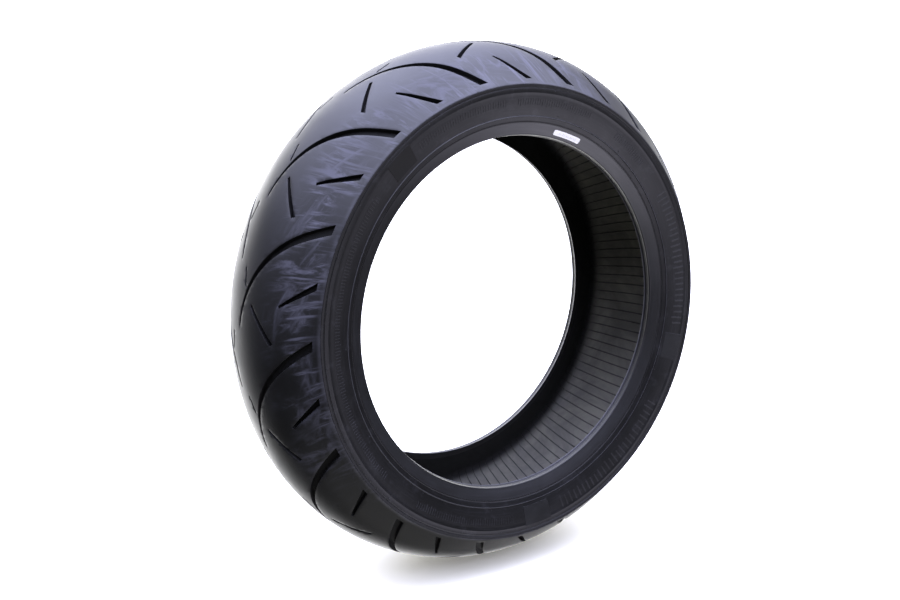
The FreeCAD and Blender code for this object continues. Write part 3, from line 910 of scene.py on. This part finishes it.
# Plain materials: noise of the tone, dark and light colour, noise of the grain (None takes the tone's),
# strength and depth of its bump, roughness from and to, specular
SHADES = {
    # matt rubber that was never worn, in the grooves and on the outer vent nubs
    "groove_rubber": ((40, 4), grey(0.0035), grey(0.007), (700, 2), (0.1, 0.0002), (0.55, 0.7), 0.2),
    # ribs and nubs, rubbed a little paler than the wall
    "rib_rubber": ((60, 4), grey(0.006, 0.1), grey(0.011, 0.1), (900, 2), (0.1, 0.0002), (0.42, 0.55), 0.35),
    # smooth moulded panels, which differ from the wall in shade
    "brown_panel": ((25, 4, 0.6, 0.5), (0.003, 0.0029, 0.0026, 1), (0.006, 0.0058, 0.005, 1), (1400, 2),
                    (0.08, 0.0002), (0.42, 0.54), 0.18),
    "pale_panel": ((25, 4, 0.6, 0.5), grey(0.008), grey(0.014), (1400, 2),
                   (0.08, 0.0002), (0.42, 0.54), 0.18),
    # rubber between the cord layers, seen only where the tyre is cut open
    "inner_rubber": ((50, 5), grey(0.014), grey(0.028), (600, 3), (0.2, 0.0004), (0.55, 0.7), 0.3),
    # white paper with fine fibres, and thin grey print
    "label_paper": ((700, 4), grey(0.95), grey(1.0), None, (0.1, 0.0001), (0.5, 0.65), 0.4),
    "label_ink": ((900, 3), grey(0.62), grey(0.78), None, (0.05, 0.0001), (0.5, 0.6), 0.3),
}


def plain(name):
    """One of the plain materials."""
    tone_noise, dark, light, grain, bump, rough, specular = SHADES[name]
    look = Look(name)
    tone = look.noise(*tone_noise)
    colour = look.mix(look.vary(tone), dark, light)
    look.bump(look.noise(*grain) if grain else tone, *bump)
    return look.finish(colour, look.vary(tone, *rough), specular)


def tread_rubber():
    """Satin rubber, faintly bluish, with pale scuffs towards the shoulders and a painted highlight along its
    edges.
    """
    look = Look("tread_rubber")
    wheel = look.wheel()
    size_y = look.math("ABSOLUTE", wheel.y)
    clouds = look.noise(7, 5, 0.6, 0.6)
    base = look.mix(look.ramp(clouds, 0.35, 0.7), (0.0036, 0.0036, 0.0039, 1), (0.0078, 0.0078, 0.0087, 1))
    wipes = look.ramp(look.strokes(radians(72), 20, 75), 0.46, 0.66)
    rubs = look.ramp(look.strokes(radians(14), 14, 60), 0.48, 0.72, 0.0, 0.8)
    strokes = look.math("MAXIMUM", wipes, rubs)
    patches = look.ramp(look.noise(7, 3, 0.5, 0.6), 0.42, 0.56)
    shoulder = look.ramp(size_y, 0.035, 0.075)
    # the pale scuffs fade out towards the bottom of the tyre, which leaves the tread darker low down
    sides = look.ramp(look.math("ABSOLUTE", wheel.angle), 1.7, 2.5, 1.0, 0.15)
    area = look.math("MULTIPLY", look.math("MULTIPLY", patches, shoulder), sides)
    scuff = look.math("MULTIPLY", strokes, area)
    colour = look.mix(look.math("MULTIPLY", scuff, 0.55), base, (0.125, 0.125, 0.16, 1))
    # painted highlight: a paler band along the tread's edges, broken up by noise
    edge = look.ramp(size_y, HALF_WIDTH - 4 * MM, HALF_WIDTH - 1 * MM)
    edge_highlight = look.math("MULTIPLY", edge, look.ramp(look.noise(30, 4), 0.35, 0.6, 0.1, 0.6))
    colour = look.mix(edge_highlight, colour, (0.05, 0.05, 0.058, 1))
    grain = look.noise(900, 3)
    rough = look.math("ADD", look.vary(clouds, 0.40, 0.52), look.math("MULTIPLY", scuff, 0.15))
    look.bump(grain, 0.12, 0.0003)
    look.bump(look.noise(45, 4), 0.10, 0.0008)
    return look.finish(colour, rough, 0.42)


def sidewall_rubber():
    """Matt moulded rubber with faint marks of the mould's turning, dust and a painted highlight along the
    rim line.
    """
    look = Look("sidewall_rubber")
    tone = look.noise(11, 5, 0.6, 0.5)
    rings = look.noise(6, 5, 0.6, 0.2, look.stretched(0.8, 60, 160))
    colour = look.mix(look.ramp(tone, 0.3, 0.75), (0.0028, 0.0028, 0.003, 1), (0.0054, 0.0054, 0.0058, 1))
    colour = look.mix(look.ramp(rings, 0.5, 0.75, 0.0, 0.5), colour, (0.018, 0.018, 0.020, 1))
    dust = look.noise(60, 6, 0.72)
    colour = look.mix(look.ramp(dust, 0.52, 0.72, 0.0, 0.55), colour, (0.020, 0.020, 0.022, 1))
    # painted highlight: a pale line along the raised rim line
    from_line = look.math("ABSOLUTE", look.math("SUBTRACT", look.wheel().radius, RIM_LINE))
    colour = look.mix(look.ramp(from_line, 0.25 * MM, 0.6 * MM, 0.85, 0.0), colour, (0.055, 0.055, 0.060, 1))
    look.bump(rings, 0.10, 0.0005)
    look.bump(look.noise(1100, 3), 0.10, 0.0002)
    return look.finish(colour, look.vary(tone, 0.34, 0.46), 0.25)


def bead_rubber():
    """Smooth, harder rubber with fine rings left by the trimming of the bead, and a painted highlight along
    the toe.
    """
    look = Look("bead_rubber")
    tone = look.noise(14, 4, 0.6, 0.3)
    rings = look.noise(9, 4, 0.6, 0.0, look.stretched(0.6, 240, 300))
    colour = look.mix(look.ramp(tone, 0.3, 0.75), (0.0052, 0.0052, 0.0058, 1), (0.011, 0.011, 0.0122, 1))
    colour = look.mix(look.ramp(rings, 0.52, 0.78, 0.0, 0.6), colour, (0.020, 0.020, 0.0225, 1))
    wheel = look.wheel()
    # painted highlight: the toe's inner edge is made pale
    inner_edge = look.ramp(look.math("ABSOLUTE", wheel.y), 71.2 * MM, 72.2 * MM, 1.0, 0.0)
    tip = look.ramp(wheel.radius, TOE_R + 0.4 * MM, TOE_R + 1.0 * MM, 0.9, 0.0)
    toe = look.math("MULTIPLY", tip, inner_edge)
    colour = look.mix(toe, colour, (0.09, 0.09, 0.10, 1))
    look.bump(rings, 0.08, 0.0004)
    look.bump(look.noise(1300, 2), 0.06, 0.0002)
    return look.finish(colour, look.ramp(rings, 0.3, 0.75, 0.34, 0.48), 0.42)


def liner_rubber():
    """Butyl rubber: dull strips between the vent lines, with painted shade darkening the sunk lines."""
    look = Look("liner_rubber")
    wheel = look.wheel()
    strips = look.math("MULTIPLY", wheel.angle, RIDGES / (2 * pi))
    shifted = look.math("FRACT", look.math("ADD", strips, 0.5))
    beside = look.math("ABSOLUTE", look.math("SUBTRACT", shifted, 0.5))
    # painted shade: each sunk vent line is darkened, over the crown only
    line = look.ramp(beside, 0.04, 0.09, 0.7, 0.0)
    crown = look.ramp(wheel.radius, 262 * MM, 276 * MM)
    tone = look.noise(16, 5, 0.65, 0.8)
    dull = look.mix(look.ramp(tone, 0.3, 0.72), (0.078, 0.076, 0.063, 1), (0.155, 0.151, 0.123, 1))
    dark = look.mix(look.vary(tone), grey(0.004), grey(0.007))
    colour = look.mix(crown, dark, dull)
    colour = look.mix(look.math("MULTIPLY", line, crown), colour, grey(0.004))
    look.bump(look.noise(350, 4), 0.15, 0.0004)
    return look.finish(colour, look.vary(tone, 0.5, 0.68), 0.3)


def cord_sheet(name, dark, light, count, lean):
    """Cords side by side in rubber, `count` round the tyre, which lean by `lean` radians per metre."""
    look = Look(name)
    wheel = look.wheel()
    run = look.math("MULTIPLY_ADD", wheel.y, lean, wheel.angle)
    cords = look.math("SINE", look.math("MULTIPLY", run, count))
    tone = look.noise(120, 3)
    colour = look.mix(look.ramp(cords, -0.4, 0.7), dark, light)
    colour = look.mix(look.ramp(tone, 0.35, 0.7, 0.0, 0.5), colour, dark)
    look.bump(cords, 0.5, 0.0003)
    return look.finish(colour, look.vary(tone, 0.45, 0.65), 0.4)


CORD_STEP = 1.1 * MM


def wound_belt():
    """Steel cord wound round the crown: fine lines that run round the tyre."""
    look = Look("wound_belt")
    cords = look.math("SINE", look.math("MULTIPLY", look.wheel().y, 2 * pi / CORD_STEP))
    tone = look.noise(90, 3)
    colour = look.mix(look.ramp(cords, -0.2, 0.8), grey(0.02), (0.20, 0.17, 0.12, 1))
    colour = look.mix(look.ramp(tone, 0.4, 0.7, 0.0, 0.4), colour, grey(0.03))
    look.bump(cords, 0.5, 0.0003)
    return look.finish(colour, look.vary(tone, 0.35, 0.55), 0.5, 0.5)


def bead_wire():
    """Bronze-coated steel wire, with the marks of drawing along it."""
    look = Look("bead_wire")
    drawn = look.noise(20, 5, 0.6, 0.0, look.stretched(0.5, 900, 900))
    colour = look.mix(look.vary(drawn), (0.42, 0.27, 0.13, 1), (0.66, 0.47, 0.26, 1))
    look.bump(drawn, 0.1, 0.0001)
    return look.finish(colour, look.vary(drawn, 0.22, 0.38), 0.5, 1.0)


def floor_paint():
    """A pale floor, warm to balance the bluish light from above, with a little light of its own."""
    look = Look("floor_paint")
    tone = look.noise(1.5, 3)
    colour = look.mix(look.vary(tone), (0.92, 0.90, 0.77, 1), (0.94, 0.92, 0.79, 1))
    look.bump(look.noise(60, 2), 0.02, 0.0005)
    look.shader.inputs["Emission Color"].default_value = (1.0, 0.99, 0.96, 1)
    look.shader.inputs["Emission Strength"].default_value = 0.20
    return look.finish(colour, look.vary(tone, 0.85, 0.9), 0.1)


def paint_frame(nodes):
    """Materials for the CAD nodes that stay in view when the tyre is cut open."""
    inner = plain("inner_rubber")
    fabric = cord_sheet("ply_cord", grey(0.02), (0.10, 0.085, 0.06, 1), 1400, 0.0)
    breaker = cord_sheet("breaker_cord", grey(0.02), (0.12, 0.10, 0.05, 1), 1100, 3.2)
    wrap = cord_sheet("wrap_cord", grey(0.03), (0.16, 0.14, 0.11, 1), 1200, 9.0)
    wire = bead_wire()
    looks = {
        "tread_base": inner, "shoulder_cushion_left": inner, "shoulder_cushion_right": inner,
        "bead_filler_left": inner, "bead_filler_right": inner, "zero_degree_belt": wound_belt(),
        "breaker_belt": breaker, "carcass_ply_outer": fabric, "carcass_ply_inner": fabric,
        "bead_core_left": wire, "bead_core_right": wire, "bead_wrap_left": wrap, "bead_wrap_right": wrap,
    }
    for name, material in looks.items():
        mesh = nodes[name].data
        mesh.materials.clear()
        mesh.materials.append(material)


# ---- stage, light and camera ----

FLOOR_HALF = 150


def make_floor(material):
    """A wide floor under the tyre, which the camera sees but which casts no light on the tyre."""
    bm = bmesh.new()
    bmesh.ops.create_grid(bm, x_segments=4, y_segments=4, size=FLOOR_HALF)
    mesh = bpy.data.meshes.new("floor")
    bm.to_mesh(mesh)
    bm.free()
    mesh.materials.append(material)
    floor = bpy.data.objects.new("floor", mesh)
    floor.location.z = -OUTER_RADIUS
    floor.visible_diffuse = False
    floor.visible_glossy = False
    bpy.context.scene.collection.objects.link(floor)


def add_light(name, place, target, size, watts, colour):
    """A rectangular lamp that faces its target."""
    light = bpy.data.lights.new(name, "AREA")
    light.shape = "RECTANGLE"
    light.size, light.size_y = size
    light.energy = watts
    light.color = colour
    lamp = bpy.data.objects.new(name, light)
    lamp.location = place
    lamp.rotation_euler = (Vector(target) - Vector(place)).to_track_quat("-Z", "Y").to_euler()
    bpy.context.scene.collection.objects.link(lamp)


# The tent of light: strength at each height from straight down (0) over the horizon (0.5) to straight up (1)
TENT = [(0.46, (0.09, 0.09, 0.09)), (0.495, (0.35, 0.35, 0.35)), (0.545, (0.35, 0.35, 0.35)),
        (0.60, (0.24, 0.24, 0.25)), (0.70, (0.34, 0.34, 0.38)), (0.84, (3.1, 3.2, 4.4)),
        (1.0, (6.2, 6.5, 9.3))]
# the world's strength: colours in the tent are shares of it, so they stay under 1
TENT_PEAK = 11.0
# glows in the tent: the way to each, the cosine of its edge's angle and its strength
GLOWS = {
    "floor in front": ((0.40, -0.66, -0.64), 0.80, (3.9, 3.8, 4.6)),
    "floor beneath": ((-0.05, -0.45, -0.90), 0.70, (0.8, 0.8, 0.8)),
    "backdrop": ((0.28, 0.95, -0.12), 0.55, (6.0, 6.0, 6.1)),
}


def share_of_peak(strength):
    """A light's strength as a colour, in shares of the world's strength."""
    return [part / TENT_PEAK for part in strength] + [1]


def add_glow(tree, direction, light, place, edge, strength):
    """The world's light with a soft round glow added to it."""
    facing = tree.nodes.new("ShaderNodeVectorMath")
    facing.operation = "DOT_PRODUCT"
    tree.links.new(direction, facing.inputs[0])
    facing.inputs[1].default_value = Vector(place).normalized()
    near = tree.nodes.new("ShaderNodeMapRange")
    near.interpolation_type = "SMOOTHSTEP"
    near.inputs["From Min"].default_value = edge
    tree.links.new(facing.outputs["Value"], near.inputs["Value"])
    glow = tree.nodes.new("ShaderNodeMix")
    glow.data_type = "RGBA"
    glow.blend_type = "ADD"
    glow.clamp_result = False
    tree.links.new(near.outputs[0], glow.inputs["Factor"])
    tree.links.new(light, glow.inputs[6])
    glow.inputs[7].default_value = share_of_peak(strength)
    return glow.outputs[2]


def light_stage():
    """A tent that is dim round the horizon and bright and bluish overhead, with a few glows."""
    world = bpy.data.worlds.new("studio")
    world.use_nodes = True
    tree = world.node_tree
    direction = tree.nodes.new("ShaderNodeTexCoord").outputs["Generated"]
    parts = tree.nodes.new("ShaderNodeSeparateXYZ")
    tree.links.new(direction, parts.inputs[0])
    height = tree.nodes.new("ShaderNodeMapRange")
    height.inputs["From Min"].default_value = -1.0
    tree.links.new(parts.outputs[2], height.inputs["Value"])
    ramp = tree.nodes.new("ShaderNodeValToRGB")
    ramp.color_ramp.interpolation = "EASE"
    tree.links.new(height.outputs[0], ramp.inputs[0])
    stops = ramp.color_ramp.elements
    while len(stops) < len(TENT):
        stops.new(0.5)
    for stop, (position, colour) in zip(stops, TENT):
        stop.position = position
        stop.color = share_of_peak(colour)
    light = ramp.outputs[0]
    for place, edge, strength in GLOWS.values():
        light = add_glow(tree, direction, light, place, edge, strength)
    background = tree.nodes["Background"]
    tree.links.new(light, background.inputs["Color"])
    background.inputs["Strength"].default_value = TENT_PEAK
    bpy.context.scene.world = world
    add_light("softbox_top", (-0.3, 0.9, 2.4), (0, 0, 0), (2.4, 1.8), 12, (0.80, 0.84, 1.0))
    bpy.context.scene.view_settings.view_transform = "Standard"


# the camera's place round the tyre's middle, and its lens
AZIMUTH = radians(-34.97)
ELEVATION = radians(11.63)
DISTANCE = 1.358
LENS_MM = 42.8
SENSOR_MM = 36
SHIFT = (-0.0344, 0.0049)


def add_camera():
    """The camera looks at the wheel's centre; its shift moves the tyre in the frame."""
    camera = bpy.data.cameras.new("camera")
    camera.lens = LENS_MM
    camera.sensor_width = SENSOR_MM
    camera.shift_x, camera.shift_y = SHIFT
    out = Vector((sin(AZIMUTH) * cos(ELEVATION), -cos(AZIMUTH) * cos(ELEVATION), sin(ELEVATION)))
    eye = bpy.data.objects.new("camera", camera)
    eye.location = out * DISTANCE
    eye.rotation_euler = (-out).to_track_quat("-Z", "Y").to_euler()
    bpy.context.scene.collection.objects.link(eye)
    bpy.context.scene.camera = eye


# ---- the whole scene ----

grooved = plain("groove_rubber")
make_tread([tread_rubber(), grooved])
wall, ribs, bead = sidewall_rubber(), plain("rib_rubber"), bead_rubber()
panels = [plain("brown_panel"), plain("pale_panel")]
for side, name in ((1, "left"), (-1, "right")):
    make_sidewall(side, name, wall)
    make_ribs(side, name, ribs)
    make_panels(side, name, panels)
    make_vents(side, name, {"outer": grooved, "middle": ribs, "inner": ribs})
    make_bead(side, name, bead)
make_liner(liner_rubber())
make_label(plain("label_paper"))
make_label_print(plain("label_ink"))
paint_frame(frame["nodes"])
make_floor(floor_paint())
light_stage()
add_camera()
